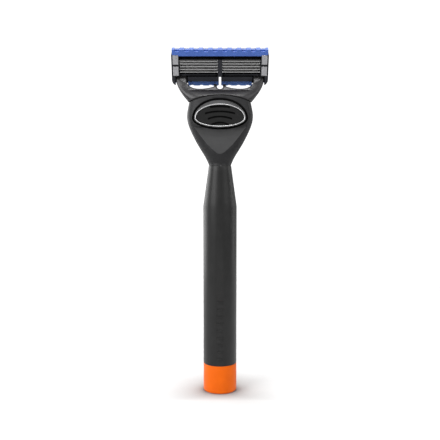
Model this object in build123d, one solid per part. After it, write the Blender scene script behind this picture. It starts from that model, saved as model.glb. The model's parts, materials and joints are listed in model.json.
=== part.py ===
from build123d import *
import os
from math import copysign, cos, pi, radians, sin

# Cartridge razor that stands on the end of its handle. Millimetres, +Z up the handle, +X to the
# right, +Y towards the shaving side. The origin is the centre of the flat base.
os.makedirs("parts", exist_ok=True)

# ---- driving dimensions ----
HANDLE_R = 7.25
CAP_H = 12.4
CAP_EDGE_R = 0.9
CONE_START_Z = 81.4
NECK_Z = 99.1
NECK_R = 4.7
BORE_R = 5.6
BORE_TOP_Z = 78.0
SPIGOT_LEN = 5.8
BALLAST_LEN = 42.0
INSERT_R = 3.6
STUD_R = 2.0
STUD_BOTTOM_Z = 83.0
STUD_TOP_Z = 104.5

HEAD_MID_TOP_Z = 128.9
HEAD_ARC_R = 33.0
SEAT_Y = -3.1
SEAT_BOTTOM_Z = 115.2
SCOOP_TIP_Z = 104.0
SCOOP_TIP_Y = -5.25
BUTTON_WIDE_Z = 119.1
BUTTON_FACE_Y = -5.9

PIVOT = (0.0, 5.0, 136.2)
TILT = 28.0
UNIT_HALF = 20.7
UNIT_REAR = -1.9
UNIT_FRONT = 2.15
WINDOW_HALF = 17.2
WINDOW_LOW = 2.9
WINDOW_HIGH = 9.45
COMB_LOW = 11.1
COMB_TOP = 13.95
CLIP_IN = 17.7
CLIP_OUT = 20.1
CLIP_LOW = 2.4
CLIP_HIGH = 11.5
BLADES = 5
BLADE_PITCH = 1.22
FIRST_BLADE = 3.9
ARM_IN = 14.3
ARM_OUT = 18.9
BOSS_R = 1.6
PIN_R = 0.8
PIN_END = 19.9
TOOTH_PITCH = 4.03

SEAM = 0.15
RIM_R = 0.6
GRIP_LINES = 9
GRIP_LOW_Z = 15.6
GRIP_PITCH = 3.1
INSERT_TOP_Z = 95.0
CAVITY_REAR = -1.6
CAVITY_TOP = 126.6
SLIDER_TOP_Z = 119.6
DOCK_TOP_Z = 131.0
PLUNGER_Y = 3.5
HEAD_GAP = 0.12
PANEL_THICK = 0.8
COVER_SCREW_X = 7.0
COVER_SCREW_Z = 115.3
CAM_FOOT_Z = 133.5
HOUSING_LOW = -2.4
SLOT_RISE = 6.2

# Front cover opening: X, Y and Z ranges.
FRONT_COVER = (-9.4, 9.4, 5.9, 12.0, 113.2, 126.2)

# Yoke sections, read like the head's.
YOKE_STATIONS = (
    (125.0, 13.3, 2.3, 5.7, 2.9),
    (127.5, 14.6, 2.3, 4.9, 3.0),
    (129.5, 16.3, 2.8, 4.2, 3.2),
    (131.5, 17.7, 3.5, 3.2, 3.5),
    (133.5, 18.6, 4.2, 2.5, 4.0),
    (136.0, 19.1, 4.6, 2.3, 4.5),
    (139.5, 19.3, 4.9, 2.2, 4.5),
)

# Arc grooves of the button pad: top height, radius and half width.
PAD_GROOVES = ((124.2, 26.0, 4.2), (122.15, 24.0, 6.3), (120.0, 14.0, 5.1), (117.5, 8.0, 3.9))

# Head sections: height, half width, middle Y, half depth and roundness power.
HEAD_STATIONS = (
    (99.1, 4.7, 0.0, 4.7, 2.0),
    (102.2, 6.1, 0.2, 5.1, 2.0),
    (106.6, 8.8, 0.5, 5.8, 2.0),
    (111.7, 11.6, 1.0, 6.4, 2.15),
    (116.0, 13.45, 1.4, 6.9, 2.5),
    (120.0, 14.2, 1.8, 6.7, 2.8),
    (123.7, 13.75, 2.2, 6.3, 2.9),
    (126.4, 13.3, 2.5, 5.9, 2.9),
    (130.0, 13.2, 2.9, 5.4, 2.9),
)


# ---- helpers ----
def block(x0, x1, y0, y1, z0, z1):
    return Pos((x0 + x1) / 2, (y0 + y1) / 2, (z0 + z1) / 2) * Box(x1 - x0, y1 - y0, z1 - z0)


def rod(radius, x, y, z0, z1):
    return Pos(x, y, (z0 + z1) / 2) * Cylinder(radius, z1 - z0)


def cross_rod(radius, x0, x1, y, z):
    return Pos((x0 + x1) / 2, y, z) * Rot(0, 90, 0) * Cylinder(radius, x1 - x0)


def deep_rod(radius, x, y0, y1, z):
    return Pos(x, (y0 + y1) / 2, z) * Rot(90, 0, 0) * Cylinder(radius, y1 - y0)


def both(shape):
    return shape + mirror(shape, about=Plane.YZ)


def spread(outline, y0, y1):
    # An outline drawn in X and Z, thickened from y0 to y1.
    return extrude(Pos(0, y1, 0) * (Plane.XZ * outline), y1 - y0)


def profile(points, half):
    # An outline of (y, z) points, thickened to half on each side of the middle.
    return extrude(Plane.YZ * make_face(Polyline(*points, close=True)), half, both=True)


def oval(half, rise, drop):
    # The button's outline: a tall half ellipse over a flatter one.
    upper = EllipticalCenterArc((0, BUTTON_WIDE_Z), half, rise, 0, arc_size=180)
    lower = EllipticalCenterArc((0, BUTTON_WIDE_Z), half, drop, 180, arc_size=180)
    return make_face(upper + lower)


def coil(radius, wire_r, turns, x, y, z0, z1):
    # A compression spring whose wire stays between z0 and z1.
    height = z1 - z0 - 2.2 * wire_r
    path = Helix(height / turns, height, radius, center=(x, y, z0 + 1.1 * wire_r))
    return sweep(Plane(origin=path @ 0, z_dir=path % 0) * Circle(wire_r), path=path, is_frenet=True)


def in_unit(shape):
    # From the blade unit's own frame (X, towards the face, towards the cap) to the object's.
    return Pos(*PIVOT) * Rot(TILT, 0, 0) * shape


def save(name, shape):
    shape.label = name
    export_step(shape, f"parts/{name}.step")


# ---- handle ----
def end_cap():
    body = rod(HANDLE_R, 0, 0, 0, CAP_H)
    body = fillet(body.edges().group_by(Axis.Z)[0], CAP_EDGE_R)
    body = chamfer(body.edges().group_by(Axis.Z)[-1], SEAM)
    return body + rod(BORE_R - 0.05, 0, 0, CAP_H - 0.2, CAP_H + SPIGOT_LEN)


def handle_tube():
    outline = Polyline(
        (0, CAP_H), (HANDLE_R - SEAM, CAP_H), (HANDLE_R, CAP_H + SEAM), (HANDLE_R, CONE_START_Z),
        (NECK_R + SEAM, NECK_Z - 0.3), (NECK_R, NECK_Z), (0, NECK_Z), close=True)
    body = revolve(Plane.XZ * make_face(outline), Axis.Z)
    body -= rod(BORE_R, 0, 0, CAP_H - 1, BORE_TOP_Z)
    body -= rod(INSERT_R, 0, 0, BORE_TOP_Z - 1, INSERT_TOP_Z)
    body -= rod(STUD_R + 0.1, 0, 0, INSERT_TOP_Z - 1, NECK_Z + 1)
    for step in range(GRIP_LINES):
        low = GRIP_LOW_Z + GRIP_PITCH * step
        body -= block(-1.5, 1.5, -HANDLE_R - 1, 0.22 - HANDLE_R, low, low + 0.7)
    return body


def ballast_rod():
    foot = CAP_H + SPIGOT_LEN
    bar = rod(BORE_R - 0.05, 0, 0, foot, foot + BALLAST_LEN)
    return chamfer(bar.edges().filter_by(GeomType.CIRCLE), 0.4)


def threaded_insert():
    body = rod(INSERT_R - 0.02, 0, 0, BORE_TOP_Z, INSERT_TOP_Z)
    return body - rod(STUD_R + 0.02, 0, 0, BORE_TOP_Z - 1, INSERT_TOP_Z + 1)


def neck_stud():
    body = rod(STUD_R, 0, 0, STUD_BOTTOM_Z, STUD_TOP_Z)
    return chamfer(body.edges().filter_by(GeomType.CIRCLE), 0.3)


# ---- head ----
def head_section(z, half_width, middle_y, half_depth, power):
    points = []
    for step in range(24):
        angle = 2 * pi * step / 24
        x = half_width * copysign(abs(cos(angle)) ** (2 / power), cos(angle))
        y = half_depth * copysign(abs(sin(angle)) ** (2 / power), sin(angle))
        points.append((x, middle_y + y, z))
    return make_face(Spline(*points, periodic=True))


def head_form():
    # The outer shape of the head, with its arched top edge rounded.
    form = loft([head_section(*station) for station in HEAD_STATIONS])
    form &= deep_rod(HEAD_ARC_R, 0, -30, 30, HEAD_MID_TOP_Z - HEAD_ARC_R)
    rim = form.edges().filter_by(lambda edge: edge.center().Z > HEAD_MID_TOP_Z - 5)
    return fillet(rim, RIM_R)


def shield():
    # The thumb panel's outline: wide at the button and narrowing to a rounded tip.
    side = Spline((11.2, SEAT_BOTTOM_Z + 0.3), (8.6, 112.0), (4.3, 106.9), (1.9, 104.75))
    tip = Spline(side @ 1, (0, SCOOP_TIP_Z), (-1.9, 104.75), tangents=(side % 1, Vector(-1.6, 1.75)))
    back = Spline((-1.9, 104.75), (-4.3, 106.9), (-8.6, 112.0), (-11.2, SEAT_BOTTOM_Z + 0.3))
    return make_face(side + tip + back + Line(back @ 1, side @ 0))


def scoop_side(depth):
    # The slope of the thumb scoop seen from the side, sunk by depth.
    low, high = (SCOOP_TIP_Y + 0.25, SCOOP_TIP_Z - 1), (SEAT_Y - 0.05, SEAT_BOTTOM_Z + 0.3)
    face = ((low[0] + depth, low[1]), (high[0] + depth, high[1]))
    return profile(face + ((-20, high[1]), (-20, low[1])), 20)


def head_shell():
    body = head_form()
    body -= spread(shield(), -20, 0) & scoop_side(PANEL_THICK)
    body -= spread(oval(11.9, 12.3, 4.75), -20, SEAT_Y)
    body -= spread(oval(11.9, 8.5, 4.75), -20, SEAT_Y + 1.0) - spread(oval(10.4, 7.2, 3.5), -20, 0)
    x0, x1, y0, y1, z0, z1 = FRONT_COVER
    body -= block(x0 - 0.05, x1 + 0.05, y0, y1, z0 - 0.05, z1 + 0.05)
    body -= block(-8.6, 8.6, CAVITY_REAR, y0 + 1, 114.0, CAVITY_TOP)
    body -= block(-3.5, 3.5, SEAT_Y - 2, 0, 116.8, 123.4)
    body -= rod(STUD_R + 0.02, 0, 0, NECK_Z - 1, STUD_TOP_Z + 0.5)
    body -= rod(1.6, 0, PLUNGER_Y, 106.5, 115)
    body -= block(-5.6, 5.6, 1.4, 5.6, CAVITY_TOP - 1, 130)
    body -= both(block(6.1, 8.2, 1.4, 4.8, CAVITY_TOP - 1, 130))
    post = deep_rod(1.5, COVER_SCREW_X, CAVITY_REAR - 0.1, y0, COVER_SCREW_Z)
    return body + both(post - deep_rod(0.65, COVER_SCREW_X, 1.0, 8, COVER_SCREW_Z))


def thumb_panel():
    body = spread(shield(), -20, 0) & (scoop_side(PANEL_THICK) - scoop_side(0))
    return body - spread(oval(11.9, 8, 4.75), -20, 0)


def front_cover():
    body = head_form() & block(*FRONT_COVER)
    body -= both(deep_rod(0.85, COVER_SCREW_X, 0, 12, COVER_SCREW_Z))
    return body - both(deep_rod(1.45, COVER_SCREW_X, 6.6, 12, COVER_SCREW_Z))


def cover_screws():
    shank = deep_rod(0.62, COVER_SCREW_X, 1.6, 6.7, COVER_SCREW_Z)
    head = deep_rod(1.35, COVER_SCREW_X, 6.65, 7.2, COVER_SCREW_Z)
    return both(shank + head)


def docking_insert():
    body = block(-5.5, 5.5, 1.5, 5.5, 121.5, DOCK_TOP_Z)
    body += block(-5.5, 5.5, 0.9, 5.5, 124.6, CAVITY_TOP - 0.05)
    body -= block(-2.4, 2.4, PLUNGER_Y - 0.8, PLUNGER_Y + 0.8, 120, 133)
    return body - both(block(5.2, 6, 1, 6, 129.6, 130.4))


# ---- ejector and its button ----
def ejector_slider():
    body = block(-8.0, 8.0, CAVITY_REAR + 0.3, -0.1, 117.0, SLIDER_TOP_Z)
    body += block(-3.0, 3.0, SEAT_Y - 0.7, -1.2, 117.0, SLIDER_TOP_Z)
    body += both(block(6.4, 7.9, -1.0, 4.5, 117.2, SLIDER_TOP_Z))
    return body + both(block(6.4, 7.9, 1.7, 4.5, SLIDER_TOP_Z - 0.5, 128.0))


def button_bezel():
    lower = Pos(0, SEAT_Y - 0.1, 0) * (Plane.XZ * oval(10.95, 7.6, 3.95))
    upper = Pos(0, BUTTON_FACE_Y, 0) * (Plane.XZ * oval(10.75, 6.1, 3.85))
    body = loft([lower, upper]) - spread(oval(10.45, 5.8, 3.55), BUTTON_FACE_Y - 1, BUTTON_FACE_Y + 1.5)
    return body - block(-3.02, 3.02, SEAT_Y - 0.7, 0, 116.98, SLIDER_TOP_Z + 0.02)


def button_ring():
    outer = spread(oval(10.55, 5.9, 3.65), BUTTON_FACE_Y - 0.3, BUTTON_FACE_Y)
    foot = spread(oval(10.4, 5.75, 3.5), BUTTON_FACE_Y - 0.1, BUTTON_FACE_Y + 0.5)
    return outer + foot - spread(oval(10.2, 5.55, 3.3), BUTTON_FACE_Y - 1, BUTTON_FACE_Y + 1)


def button_pad():
    body = spread(oval(10.15, 5.5, 3.25), BUTTON_FACE_Y + 0.05, BUTTON_FACE_Y + 1.45)
    for top_z, radius, half in PAD_GROOVES:
        ring = deep_rod(radius, 0, BUTTON_FACE_Y - 1, BUTTON_FACE_Y + 0.7, top_z - radius)
        ring -= deep_rod(radius - 0.75, 0, BUTTON_FACE_Y - 2, 0, top_z - radius)
        body -= ring & block(-half, half, BUTTON_FACE_Y - 2, 0, top_z - 2.6, top_z + 1)
    return body


def ejector_springs():
    return both(coil(0.7, 0.16, 8, 4.9, -0.55, SLIDER_TOP_Z + 0.03, CAVITY_TOP - 0.03))


# ---- plunger that turns the blade unit back ----
def plunger():
    body = block(-2.25, 2.25, PLUNGER_Y - 0.7, PLUNGER_Y + 0.7, 117.5, 130.7)
    body += both(block(1.35, 2.1, PLUNGER_Y - 0.45, PLUNGER_Y + 0.65, 130, CAM_FOOT_Z - 0.1))
    return body + rod(0.6, 0, PLUNGER_Y, 115.4, 118)


def plunger_spring():
    return coil(1.05, 0.2, 9, 0, PLUNGER_Y, 106.53, 117.47)


# ---- cartridge: yoke ----
def yoke_outline():
    # Right half of the yoke from the front: arched foot, flared arm and crossbar.
    foot_r = HEAD_ARC_R + HEAD_GAP
    middle_z = HEAD_MID_TOP_Z - HEAD_ARC_R
    foot_points = [(x, middle_z + (foot_r ** 2 - x ** 2) ** 0.5) for x in (0, 7, 13.6)]
    foot = ThreePointArc(*foot_points)
    outer = Spline(foot_points[-1], (16.2, 129.5), (17.9, 132.2), (ARM_OUT, 135.2))
    tip = Polyline((ARM_OUT, 135.2), (ARM_OUT, 139), (ARM_IN, 139), (ARM_IN, 136.0))
    crotch = ((14.1, 134.25), (12.6, 132.75), (8.3, 131.9), (4.5, 132.35), (2.1, 133.05))
    inner = Spline((ARM_IN, 136.0), *crotch)
    ledge = Polyline((2.1, 133.05), (1.4, 133.05))
    bulb = ledge + ThreePointArc((1.4, 133.05), (1.0, 132.1), (0, 131.7))
    return make_face(foot + outer + tip + inner + bulb + Line((0, 131.7), foot_points[0]))


def interconnect_yoke():
    px, py, pz = PIVOT
    side = (
        (py - 1.41, pz + 0.75), (0.45, 131.0), (-6, 129.2), (-6, 124.0), (6.2, 124.0),
        (6.2, 134.6), (py + BOSS_R, pz), (py, pz),
    )
    envelope = loft([head_section(*station) for station in YOKE_STATIONS])
    body = both(spread(yoke_outline(), -6, 7)) & envelope
    body &= profile(side, 20) + cross_rod(BOSS_R, -20, 20, py, pz)
    body -= block(-5.65, 5.65, 1.35, 5.65, 127, DOCK_TOP_Z + 0.2)
    body -= both(block(1.2, 2.25, PLUNGER_Y - 0.6, PLUNGER_Y + 0.8, 131, 134))
    body -= both(block(1.2, 2.8, 3.9, 7, 132.7, 134))
    return body + both(cross_rod(PIN_R, ARM_OUT - 0.5, PIN_END, py, pz))


# ---- cartridge: blade unit, drawn in its own frame ----
def blade_housing():
    px, py, pz = PIVOT
    plate = Pos(0, (HOUSING_LOW + CLIP_HIGH) / 2) * Rectangle(2 * UNIT_HALF, CLIP_HIGH - HOUSING_LOW)
    plate = fillet(plate.vertices().group_by(Axis.Y)[0], 3.0)
    body = spread(plate, UNIT_REAR, UNIT_FRONT)
    body -= block(-CLIP_IN, CLIP_IN, -3, 1.0, COMB_LOW, 13)
    body += block(-20.4, 20.4, 1.0, UNIT_FRONT, CLIP_HIGH - 1, 12.9)
    body -= block(-WINDOW_HALF, WINDOW_HALF, -3, 3, WINDOW_LOW, WINDOW_HIGH)
    body -= block(-WINDOW_HALF, WINDOW_HALF, -3, -1.0, 1.85, COMB_LOW + 1)
    body += block(-0.95, 0.95, UNIT_REAR, -1.2, 1.8, WINDOW_HIGH + 0.4)
    body += block(-0.95, 0.95, UNIT_REAR, -0.9, 1.8, 2.95)
    body -= block(-18.6, 18.6, 0.8, 3, 1.8, WINDOW_HIGH + 0.1)
    body -= block(-14.0, 14.0, -3, 3, -4, -0.2)
    body -= both(block(13.9, ARM_OUT + 0.3, -3, 1.75, -4, 2.15))
    body += both(block(1.25, 2.6, 1.0, UNIT_FRONT, -3.3, 0))
    for low, high in ((CLIP_LOW - 0.02, CLIP_LOW + 0.37), (CLIP_HIGH - 0.37, CLIP_HIGH + 0.02)):
        body -= both(block(CLIP_IN - 0.05, CLIP_OUT + 0.05, -3, 3, low, high))
    placed = in_unit(body) + both(block(1.25, 2.6, 3.0, 8.0, CAM_FOOT_Z, CAM_FOOT_Z + 0.45))
    placed -= both(cross_rod(PIN_R + 0.05, ARM_OUT, PIN_END + 0.1, py, pz))
    return placed - centre_slot()


def centre_slot():
    # The open slot up the middle of the blade unit's lower edge.
    return Pos(0, 2.5, 136.95) * Rot(SLOT_RISE, 0, 0) * block(-0.5, 0.5, -4, 12, -8, 0)


def clip(side):
    # An aluminium band through the housing, its ends bent in until they nearly meet at the rear.
    x0, x1 = sorted((side * CLIP_IN, side * CLIP_OUT))
    outer = block(x0, x1, UNIT_REAR - 0.37, UNIT_FRONT + 0.42, CLIP_LOW, CLIP_HIGH)
    outer = fillet(outer.edges().filter_by(Axis.X), 0.3)
    outer -= block(x0, x1, UNIT_REAR - 0.02, UNIT_FRONT + 0.07, CLIP_LOW + 0.35, CLIP_HIGH - 0.35)
    return in_unit(outer - block(x0, x1, -3, 0, 6.6, 7.5))


def guard_strip():
    body = block(-19.4, 19.4, UNIT_FRONT, UNIT_FRONT + 0.3, -2.3, 1.5)
    for step in range(7):
        middle = 0.5 * step - 1.9
        body += block(-19.0, 19.0, UNIT_FRONT + 0.2, UNIT_FRONT + 0.6, middle, middle + 0.2)
    web = block(-13.9, 13.9, 0.3, UNIT_FRONT + 0.3, -3.0, -0.25)
    for step in range(-3, 4):
        web -= deep_rod(1.5, step * TOOTH_PITCH, -1, 4, -4.2)
    body += web - both(block(1.2, 2.65, 0.95, UNIT_FRONT, -4, 1))
    body = in_unit(body) - both(block(1.2, 2.65, 2.9, 8.1, CAM_FOOT_Z - 1, CAM_FOOT_Z + 0.5))
    return body - centre_slot()


def lubricating_strip():
    body = block(-17.5, 17.5, UNIT_FRONT, UNIT_FRONT + 0.55, 9.9, 12.6)
    return in_unit(fillet(body.edges().filter_by(Axis.X).group_by(Axis.Y)[-1], 0.4))


def trimmer_comb():
    body = block(-20.4, 20.4, UNIT_REAR, 0.85, COMB_LOW, COMB_TOP)
    body -= both(block(CLIP_IN - 0.1, 22, -3, 3, COMB_LOW - 1, CLIP_HIGH + 0.05))
    for step in range(-5, 5):
        middle = (step + 0.5) * TOOTH_PITCH
        notch = Pos(middle, 0, COMB_TOP) * Box(2.1, 1.4, 1.9)
        rounded = fillet(notch.edges().filter_by(Axis.Y).group_by(Axis.Z)[0], 0.5)
        body -= Pos(0, UNIT_REAR + 0.6, 0) * rounded
        body -= block(middle - 1.05, middle + 1.05, -3, 3, COMB_TOP - 0.5, COMB_TOP + 1)
    return in_unit(body)


def trimmer_blade():
    return in_unit(block(-19.0, 19.0, 0.88, 0.98, CLIP_HIGH + 0.1, COMB_TOP - 0.4))


def shaving_blade(number):
    # The slim blade and the bent support that carries it, as a pair of outlines.
    low = FIRST_BLADE + BLADE_PITCH * number
    lean = radians(22)
    along = Vector(sin(lean), -cos(lean))
    out = Vector(cos(lean), sin(lean))
    bend = Vector(1.55, low + 0.13)
    tip = bend + along * 1.0
    under = tip - out * 0.25
    elbow = under - along * ((low - 0.13 - under.Y) / cos(lean))
    support = [(-1.5, low + 0.13), bend, tip, under, elbow, (-1.5, low - 0.13)]
    heel = bend + along * 0.15
    edge = tip + along * 0.4
    plate = [heel, edge, edge + out * 0.1 - along * 0.2, heel + out * 0.1]
    outlines = (support, plate)
    return [[(v.X, v.Y) if isinstance(v, Vector) else v for v in line] for line in outlines]


def blade_support(number):
    body = profile(shaving_blade(number)[0], 17.0)
    return in_unit(body - block(-1.1, 1.1, -3, -0.8, 0, 12))


def blade(number):
    return in_unit(profile(shaving_blade(number)[1], 18.2))


# ---- write every piece ----
PIECES = {
    "end_cap": end_cap, "handle_tube": handle_tube, "ballast_rod": ballast_rod,
    "threaded_insert": threaded_insert, "neck_stud": neck_stud, "head_shell": head_shell,
    "thumb_panel": thumb_panel, "front_cover": front_cover, "cover_screws": cover_screws,
    "docking_insert": docking_insert,
    "ejector_slider": ejector_slider, "button_bezel": button_bezel, "button_ring": button_ring,
    "button_pad": button_pad, "ejector_springs": ejector_springs, "plunger": plunger,
    "plunger_spring": plunger_spring, "interconnect_yoke": interconnect_yoke,
    "blade_housing": blade_housing, "guard_strip": guard_strip,
    "lubricating_strip": lubricating_strip, "trimmer_comb": trimmer_comb,
    "trimmer_blade": trimmer_blade,
}
for piece_name, make in PIECES.items():
    save(piece_name, make())
for clip_name, clip_side in (("clip_left", -1), ("clip_right", 1)):
    save(clip_name, clip(clip_side))
for index in range(BLADES):
    save(f"blade_{index + 1}", blade(index))
    save(f"blade_support_{index + 1}", blade_support(index))
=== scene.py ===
import json
import math

import bmesh
import bpy
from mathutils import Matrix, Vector


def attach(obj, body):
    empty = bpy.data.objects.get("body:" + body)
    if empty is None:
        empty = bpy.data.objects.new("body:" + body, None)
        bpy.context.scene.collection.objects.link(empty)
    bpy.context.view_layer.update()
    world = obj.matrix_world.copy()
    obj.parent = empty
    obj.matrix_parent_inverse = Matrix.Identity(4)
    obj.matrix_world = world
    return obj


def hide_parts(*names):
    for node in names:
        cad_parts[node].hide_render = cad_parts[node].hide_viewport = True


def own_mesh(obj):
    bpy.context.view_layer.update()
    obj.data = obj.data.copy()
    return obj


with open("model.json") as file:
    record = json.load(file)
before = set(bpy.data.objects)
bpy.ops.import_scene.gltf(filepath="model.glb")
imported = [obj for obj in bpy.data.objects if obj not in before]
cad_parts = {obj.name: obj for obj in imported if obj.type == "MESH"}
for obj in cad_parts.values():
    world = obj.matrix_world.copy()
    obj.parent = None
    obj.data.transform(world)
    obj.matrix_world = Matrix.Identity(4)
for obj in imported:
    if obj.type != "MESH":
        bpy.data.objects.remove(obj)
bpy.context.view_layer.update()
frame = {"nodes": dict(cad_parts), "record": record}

# The razor stands on its end cap: +Z up the handle, +X right, and -Y is the side with the button.
MM = 0.001
NODES = frame["nodes"]

# ---- camera ----
CAMERA_DISTANCE = 0.303
CAMERA_HEIGHT = 0.103
CAMERA_PITCH = math.radians(5.2)
CAMERA_LENS = 57.3
SENSOR_WIDTH = 36.0
CLIP_START = 0.01

# ---- floor ----
FLOOR_RADIUS = 0.3
FLOOR_SIDES = 96
PAPER_DARK = (0.67, 0.67, 0.67)
PAPER_LIGHT = (0.69, 0.69, 0.69)
PAPER_ROUGHNESS = 0.8
PAPER_SHINE = 0.1
FIBRE_SIZE = 0.01
FLOOR_BOUNCE = (0.6, 0.6, 0.6, 1.0)
# The painted contact shadow on the floor: its colour, reach, samples and strength.
CONTACT_PAINTED_SHADOW = (0.15, 0.15, 0.15, 1.0)
CONTACT_REACH = 25 * MM
CONTACT_SAMPLES = 16
CONTACT_DARKEST = 0.50
# The painted contact shadow fades out in front of the razor between these two depths.
CONTACT_NONE = -15 * MM
CONTACT_FULL = -1 * MM

# ---- room and lights ----
ROOM_SEEN = 1.2
ROOM_FRONT = 0.5
ROOM_BACK = 0.15
LIGHT_AIM = Vector((0.0, 0.0, 0.09))
# Each softbox: its name, place, width, height and power.
SOFTBOXES = (
    ("overhead", (0.0, 0.30, 0.90), 0.9, 0.6, 7.0),
    ("front_top", (0.0, -0.46, 0.95), 0.24, 0.16, 2.8),
    ("back_left", (-0.60, 0.42, 0.16), 0.7, 0.5, 3.6),
    ("back_right", (0.55, 0.50, 0.25), 0.7, 0.8, 0.7),
    ("right_strip", (0.60, 0.15, 0.16), 0.12, 0.5, 0.55),
    ("front_left", (-0.65, -0.52, 0.50), 0.65, 0.65, 6.2),
    ("front_right", (0.65, -0.52, 0.50), 0.65, 0.65, 2.0),
)

# ---- finishes ----
BLOTCH_SIZE = 0.004
FLAT_POINTINESS = 0.52
EDGE_POINTINESS = 0.60
WORN_GAIN = 2.2
WORN_LIFT = 0.01
# The colour and reach of the painted shade put into narrow gaps, and of the painted dark band
# above a given height.
GAP_PAINTED_SHADE = (0.0005, 0.0005, 0.0005, 1.0)
GAP_ROUGHNESS = 0.9
GAP_SAMPLES = 8
GAP_DARKEST = 0.45
GAP_TOP_FADE = 1.0 * MM
PAINTED_BAND_FADE = 0.15 * MM
PAINTED_BAND_LEVEL = 0.08

# ---- shapes ----
# The radius of the broken edges, in millimetres.
EDGE_BREAKS = {
    "head_shell": 0.35, "thumb_panel": 0.1, "button_bezel": 0.22, "button_ring": 0.1,
    "button_pad": 0.2, "blade_housing": 0.12, "trimmer_comb": 0.15, "guard_strip": 0.08,
    "clip_left": 0.08, "clip_right": 0.08, "front_cover": 0.12, "handle_tube": 0.08,
    "end_cap": 0.1, "lubricating_strip": 0.1,
}
EDGE_ANGLE = math.radians(40)
EDGE_SEGMENTS = 2
WELD_GAP = 0.002 * MM
YOKE_VOXEL = 0.15 * MM
YOKE_MELT_FACTOR = 0.5
YOKE_MELT_ROUNDS = 48

# The springs that a joint presses: the joint, the height of the fixed end, and the share of the
# length that is left at the joint's limit.
SPRINGS = {
    "ejector_springs": ("button_slide", 126.57 * MM, 0.5),
    "plunger_spring": ("plunger_slide", 106.53 * MM, 0.897),
}


def put_in_scene(name, data):
    thing = bpy.data.objects.new(name, data)
    bpy.context.scene.collection.objects.link(thing)
    return thing


def set_camera():
    data = bpy.data.cameras.new("camera")
    data.lens = CAMERA_LENS
    data.sensor_width = SENSOR_WIDTH
    data.clip_start = CLIP_START
    camera = put_in_scene("camera", data)
    camera.location = (0.0, -CAMERA_DISTANCE, CAMERA_HEIGHT)
    camera.rotation_euler = (math.pi / 2 - CAMERA_PITCH, 0.0, 0.0)
    bpy.context.scene.camera = camera


# ---- node helpers for materials ----
def new_material(name):
    material = bpy.data.materials.new(name)
    material.use_nodes = True
    tree = material.node_tree
    return material, tree, tree.nodes["Principled BSDF"]


def add(tree, kind, **values):
    # A node with its properties and named sockets set. Socket names use _ for a space.
    node = tree.nodes.new(kind)
    for key, value in values.items():
        if key[0].isupper():
            node.inputs[key.replace("_", " ")].default_value = value
        else:
            setattr(node, key, value)
    return node


def feed(tree, value, socket):
    # Links another node's output to a socket, or sets the socket to a fixed value.
    if isinstance(value, bpy.types.NodeSocket):
        tree.links.new(value, socket)
    else:
        socket.default_value = value


def mix(tree, data_type, factor, first, second):
    # Goes from first to second as factor goes from 0 to 1.
    node = add(tree, "ShaderNodeMix", data_type=data_type)
    feed(tree, first, node.inputs["A"])
    feed(tree, second, node.inputs["B"])
    feed(tree, factor, node.inputs["Factor"])
    return node.outputs["Result"]


def calculate(tree, operation, first, second):
    node = add(tree, "ShaderNodeMath", operation=operation)
    feed(tree, first, node.inputs[0])
    feed(tree, second, node.inputs[1])
    return node.outputs[0]


def position(tree, stretch=(1.0, 1.0, 1.0)):
    # Object coordinates in metres, stretched along each axis.
    source = add(tree, "ShaderNodeTexCoord")
    mapping = add(tree, "ShaderNodeMapping", Scale=stretch)
    tree.links.new(source.outputs["Object"], mapping.inputs["Vector"])
    return mapping.outputs["Vector"]


def coordinate(tree, vector, axis):
    split = add(tree, "ShaderNodeSeparateXYZ")
    tree.links.new(vector, split.inputs["Vector"])
    return split.outputs[axis]


def noise(tree, size, stretch=(1.0, 1.0, 1.0), detail=3.0, rough=0.55):
    # A noise value whose features are about size metres across.
    node = add(tree, "ShaderNodeTexNoise", Scale=1.0 / size, Detail=detail, Roughness=rough)
    tree.links.new(position(tree, stretch), node.inputs["Vector"])
    return node.outputs["Fac"]


def ramp(tree, value, low, high, start=0.3, end=0.7):
    # Goes from low to high as a value goes from start to end. The defaults suit a noise value.
    node = add(tree, "ShaderNodeMapRange", From_Min=start, From_Max=end, To_Min=low, To_Max=high)
    tree.links.new(value, node.inputs["Value"])
    return node.outputs["Result"]


def tint(tree, value, dark, light):
    # Mixes two colours by a value.
    return mix(tree, "RGBA", value, (*dark, 1.0), (*light, 1.0))


def openness(tree, reach, samples, darkest, open_at):
    # 0 in a gap much narrower than reach, and 1 in the open.
    shelter = add(tree, "ShaderNodeAmbientOcclusion", Distance=reach, samples=samples)
    return ramp(tree, shelter.outputs["AO"], 0.0, 1.0, darkest, open_at)


def emboss(tree, shader, value, depth):
    bump = add(tree, "ShaderNodeBump", Distance=depth)
    tree.links.new(value, bump.inputs["Height"])
    tree.links.new(bump.outputs["Normal"], shader.inputs["Normal"])


def wear_edges(tree, colour, light, wear):
    # Paler along raised edges, where the surface is rubbed.
    source = add(tree, "ShaderNodeNewGeometry")
    edges = ramp(tree, source.outputs["Pointiness"], 0.0, 1.0, FLAT_POINTINESS, EDGE_POINTINESS)
    worn = (*[min(1.0, WORN_GAIN * c + WORN_LIFT) for c in light], 1.0)
    return mix(tree, "RGBA", calculate(tree, "MULTIPLY", edges, wear), colour, worn)


def paint_gap_shade(tree, colour, roughness, crevice, open_at, crevice_top, painted_shade_from):
    # Painted shade: gaps narrower than crevice, in metres, are painted dark and made matt,
    # standing in for the shade that falls in them, as far up as crevice_top. Above the last
    # height given, the whole surface gets the same painted shade.
    clear = openness(tree, crevice, GAP_SAMPLES, GAP_DARKEST, open_at)
    height = coordinate(tree, position(tree), "Z")
    above = ramp(tree, height, 0.0, 1.0, crevice_top - GAP_TOP_FADE, crevice_top)
    clear = calculate(tree, "MAXIMUM", clear, above)
    if painted_shade_from:
        level = ramp(tree, height, 1.0, PAINTED_BAND_LEVEL, painted_shade_from - PAINTED_BAND_FADE, painted_shade_from)
        clear = calculate(tree, "MULTIPLY", clear, level)
    colour = mix(tree, "RGBA", clear, GAP_PAINTED_SHADE, colour)
    return colour, mix(tree, "FLOAT", clear, GAP_ROUGHNESS, roughness)


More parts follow.
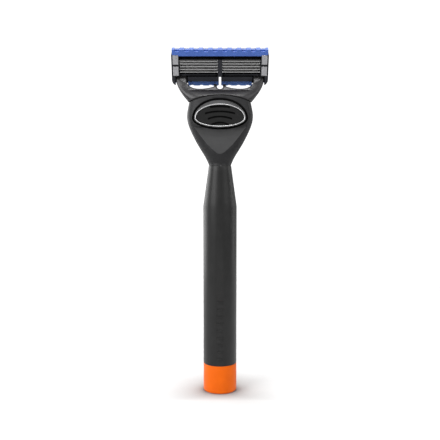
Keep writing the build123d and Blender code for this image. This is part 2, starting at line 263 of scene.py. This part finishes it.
def moulded(name, dark, light, rough, grain=0.00025, depth=0.00001, wear=0.0, shine=0.5,
            crevice=0.0, open_at=0.9, crevice_top=1.0, painted_shade_from=0.0):
    # Moulded plastic: fine spark-eroded grain and faint blotches, with worn edges and, where they
    # are asked for, painted shade in gaps.
    material, tree, shader = new_material(name)
    blotches = ramp(tree, noise(tree, BLOTCH_SIZE, detail=2.0), 0.0, 1.0)
    colour = tint(tree, blotches, dark, light)
    if wear:
        colour = wear_edges(tree, colour, light, wear)
    grain_value = noise(tree, grain, detail=2.0)
    roughness = ramp(tree, grain_value, rough - 0.05, rough + 0.06)
    if crevice:
        colour, roughness = paint_gap_shade(tree, colour, roughness, crevice, open_at, crevice_top,
                                        painted_shade_from)
    tree.links.new(colour, shader.inputs["Base Color"])
    tree.links.new(roughness, shader.inputs["Roughness"])
    emboss(tree, shader, grain_value, depth)
    shader.inputs["Specular IOR Level"].default_value = shine
    return material


def metal(name, dark, light, rough, stretch, size=0.0012, depth=0.000004):
    # Metal with grinding or rolling lines along the axis that stretch makes long.
    material, tree, shader = new_material(name)
    lines = noise(tree, size, stretch, detail=5.0, rough=0.7)
    colour = tint(tree, ramp(tree, lines, 0.0, 1.0), dark, light)
    shader.inputs["Metallic"].default_value = 1.0
    tree.links.new(colour, shader.inputs["Base Color"])
    tree.links.new(ramp(tree, lines, rough - 0.06, rough + 0.08), shader.inputs["Roughness"])
    emboss(tree, shader, lines, depth)
    return material


# ---- the materials, one for each slot of the record ----
ALONG_X = (0.05, 1.0, 1.0)
ALONG_Z = (1.0, 1.0, 0.05)
# Where crevice is given, shade is painted into gaps narrower than it: around the button, in the
# pad's grooves, where the yoke meets the housing and in the housing's recesses.
MOULDINGS = {
    "anodised_black": dict(dark=(0.010, 0.010, 0.010), light=(0.013, 0.013, 0.013), rough=0.38,
                           grain=0.00016, depth=0.000006, wear=0.25, shine=0.31),
    "orange_cap": dict(dark=(0.71, 0.111, 0.001), light=(0.75, 0.123, 0.001), rough=0.42,
                       depth=0.000008, shine=0.15),
    "head_plastic": dict(dark=(0.012, 0.012, 0.013), light=(0.015, 0.015, 0.016), rough=0.46,
                         wear=0.15, shine=0.27, crevice=2.2 * MM, crevice_top=0.1283),
    "panel_plastic": dict(dark=(0.044, 0.044, 0.045), light=(0.051, 0.051, 0.052), rough=0.40,
                          shine=0.4),
    "inner_plastic": dict(dark=(0.017, 0.017, 0.018), light=(0.022, 0.022, 0.023), rough=0.5),
    "button_plastic": dict(dark=(0.085, 0.085, 0.086), light=(0.100, 0.100, 0.101), rough=0.34,
                           wear=0.15, shine=0.6),
    "button_rubber": dict(dark=(0.012, 0.012, 0.012), light=(0.015, 0.015, 0.015), rough=0.5,
                          grain=0.00035, depth=0.00002, shine=0.15, crevice=1.2 * MM),
    "yoke_plastic": dict(dark=(0.013, 0.012, 0.014), light=(0.016, 0.015, 0.017), rough=0.35,
                         shine=0.55, crevice=2.0 * MM),
    # The housing's top bar, just under the comb, is painted as dark as a gap above the last
    # height given: painted shade, with no recess in the moulding.
    "housing_plastic": dict(dark=(0.028, 0.029, 0.034), light=(0.034, 0.035, 0.041), rough=0.40,
                            shine=0.05, crevice=3.0 * MM, open_at=1.0, painted_shade_from=143.75 * MM),
    "blue_elastomer": dict(dark=(0.15, 0.30, 0.80), light=(0.18, 0.34, 0.86), rough=0.5,
                           depth=0.00002, shine=0.3),
    "blue_plastic": dict(dark=(0.050, 0.115, 0.42), light=(0.060, 0.138, 0.47), rough=0.42,
                         shine=0.35),
    "lube_strip": dict(dark=(0.34, 0.52, 0.54), light=(0.42, 0.60, 0.61), rough=0.45,
                       grain=0.0005, depth=0.00003),
}
METALS = {
    "steel": dict(dark=(0.50, 0.50, 0.51), light=(0.66, 0.66, 0.66), rough=0.32,
                  stretch=ALONG_Z),
    "brass": dict(dark=(0.66, 0.46, 0.18), light=(0.80, 0.60, 0.28), rough=0.30,
                  stretch=ALONG_Z),
    "chrome": dict(dark=(0.86, 0.86, 0.87), light=(0.92, 0.92, 0.93), rough=0.33,
                   stretch=ALONG_X),
    "blade_steel": dict(dark=(0.40, 0.40, 0.40), light=(0.56, 0.56, 0.56), rough=0.30,
                        stretch=ALONG_X, size=0.0004),
    "clip_aluminium": dict(dark=(0.33, 0.33, 0.345), light=(0.42, 0.42, 0.435), rough=0.42,
                           stretch=ALONG_Z, size=0.0005),
}


def make_materials():
    made = {name: moulded(name, **look) for name, look in MOULDINGS.items()}
    made.update({name: metal(name, **look) for name, look in METALS.items()})
    return made


def paint_nodes(materials):
    # Every CAD node takes the finish of its slot.
    for subpart in frame["record"]["subparts"]:
        node = NODES[subpart["node"]]
        node.data.materials.clear()
        node.data.materials.append(materials[subpart["material_slot"]])


def break_edges():
    # The small radius that every moulded or pressed edge has, so that it catches the light.
    for name, width in EDGE_BREAKS.items():
        node = NODES[name]
        weld = node.modifiers.new("weld", "WELD")
        weld.merge_threshold = WELD_GAP
        bevel = node.modifiers.new("edge", "BEVEL")
        bevel.width = width * MM
        bevel.segments = EDGE_SEGMENTS
        bevel.limit_method = "ANGLE"
        bevel.angle_limit = EDGE_ANGLE
        bevel.harden_normals = True
        bevel.use_clamp_overlap = True


# ---- the yoke, softened as the moulding is ----
def soften_yoke(finish):
    # The frame's yoke with every outside corner rolled over, as a shaped grip moulding is.
    piece = put_in_scene("yoke_moulding", NODES["interconnect_yoke"].data.copy())
    remesh = piece.modifiers.new("remesh", "REMESH")
    remesh.mode = "VOXEL"
    remesh.voxel_size = YOKE_VOXEL
    remesh.use_smooth_shade = True
    melt = piece.modifiers.new("melt", "SMOOTH")
    melt.factor = YOKE_MELT_FACTOR
    melt.iterations = YOKE_MELT_ROUNDS
    evaluated = piece.evaluated_get(bpy.context.evaluated_depsgraph_get())
    shaped = bpy.data.meshes.new_from_object(evaluated)
    piece.modifiers.clear()
    piece.data = shaped
    shaped.materials.clear()
    shaped.materials.append(finish)
    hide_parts("interconnect_yoke")
    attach(piece, "cartridge")


# ---- the springs, as steel copies carried by the handle ----
def press_springs(finish):
    for name, (joint, seat, keep) in SPRINGS.items():
        coil = put_in_scene(name + "_coil", NODES[name].data.copy())
        coil.data.materials.clear()
        coil.data.materials.append(finish)
        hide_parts(name)
        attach(coil, "handle")
        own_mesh(coil)


# ---- floor and light ----
def floor_paper():
    # White paper with faint fibres, with a painted contact shadow where the razor's foot shelters
    # it at the sides and behind. Only the camera sees it white: what it throws up on the razor is
    # dimmer, as with the dark cards of a product studio.
    material, tree, shader = new_material("floor_paper")
    fibres = ramp(tree, noise(tree, FIBRE_SIZE, detail=4.0), 0.0, 1.0)
    paper = tint(tree, fibres, PAPER_DARK, PAPER_LIGHT)
    clear = openness(tree, CONTACT_REACH, CONTACT_SAMPLES, CONTACT_DARKEST, 1.0)
    depth = coordinate(tree, position(tree), "Y")
    in_front = ramp(tree, depth, 1.0, 0.0, CONTACT_NONE, CONTACT_FULL)
    clear = calculate(tree, "MAXIMUM", clear, in_front)
    painted_shadow_paper = mix(tree, "RGBA", clear, CONTACT_PAINTED_SHADOW, paper)
    seen = add(tree, "ShaderNodeLightPath").outputs["Is Camera Ray"]
    tree.links.new(mix(tree, "RGBA", seen, FLOOR_BOUNCE, painted_shadow_paper), shader.inputs["Base Color"])
    shader.inputs["Roughness"].default_value = PAPER_ROUGHNESS
    shader.inputs["Specular IOR Level"].default_value = PAPER_SHINE
    return material


def make_floor():
    # A round sheet of white paper, just wider than the camera sees below the horizon.
    mesh = bpy.data.meshes.new("floor")
    form = bmesh.new()
    bmesh.ops.create_circle(form, cap_ends=True, radius=FLOOR_RADIUS, segments=FLOOR_SIDES)
    form.to_mesh(mesh)
    form.free()
    floor = put_in_scene("floor", mesh)
    floor.data.materials.append(floor_paper())


def set_world():
    # A white room for the camera, dimmer for the light it gives, and dimmest behind the razor, so
    # that its outline stays dark.
    world = bpy.data.worlds.new("studio")
    world.use_nodes = True
    tree = world.node_tree
    toward = add(tree, "ShaderNodeTexCoord")
    depth = coordinate(tree, toward.outputs["Generated"], "Y")
    given = ramp(tree, depth, ROOM_FRONT, ROOM_BACK, -1.0, 1.0)
    seen = add(tree, "ShaderNodeLightPath").outputs["Is Camera Ray"]
    level = add(tree, "ShaderNodeMapRange", To_Max=ROOM_SEEN)
    tree.links.new(seen, level.inputs["Value"])
    tree.links.new(given, level.inputs["To Min"])
    background = tree.nodes["Background"]
    background.inputs["Color"].default_value = (1.0, 1.0, 1.0, 1.0)
    tree.links.new(level.outputs["Result"], background.inputs["Strength"])
    bpy.context.scene.world = world


def light_scene():
    for name, place, width, height, power in SOFTBOXES:
        data = bpy.data.lights.new(name, "AREA")
        data.shape = "RECTANGLE"
        data.size = width
        data.size_y = height
        data.energy = power
        light = put_in_scene(name, data)
        light.location = place
        light.rotation_euler = (LIGHT_AIM - Vector(place)).to_track_quat("-Z", "Y").to_euler()


bpy.context.scene.view_settings.view_transform = "Standard"
set_camera()
set_world()
make_floor()
light_scene()
finishes = make_materials()
paint_nodes(finishes)
break_edges()
soften_yoke(finishes["yoke_plastic"])
press_springs(finishes["steel"])
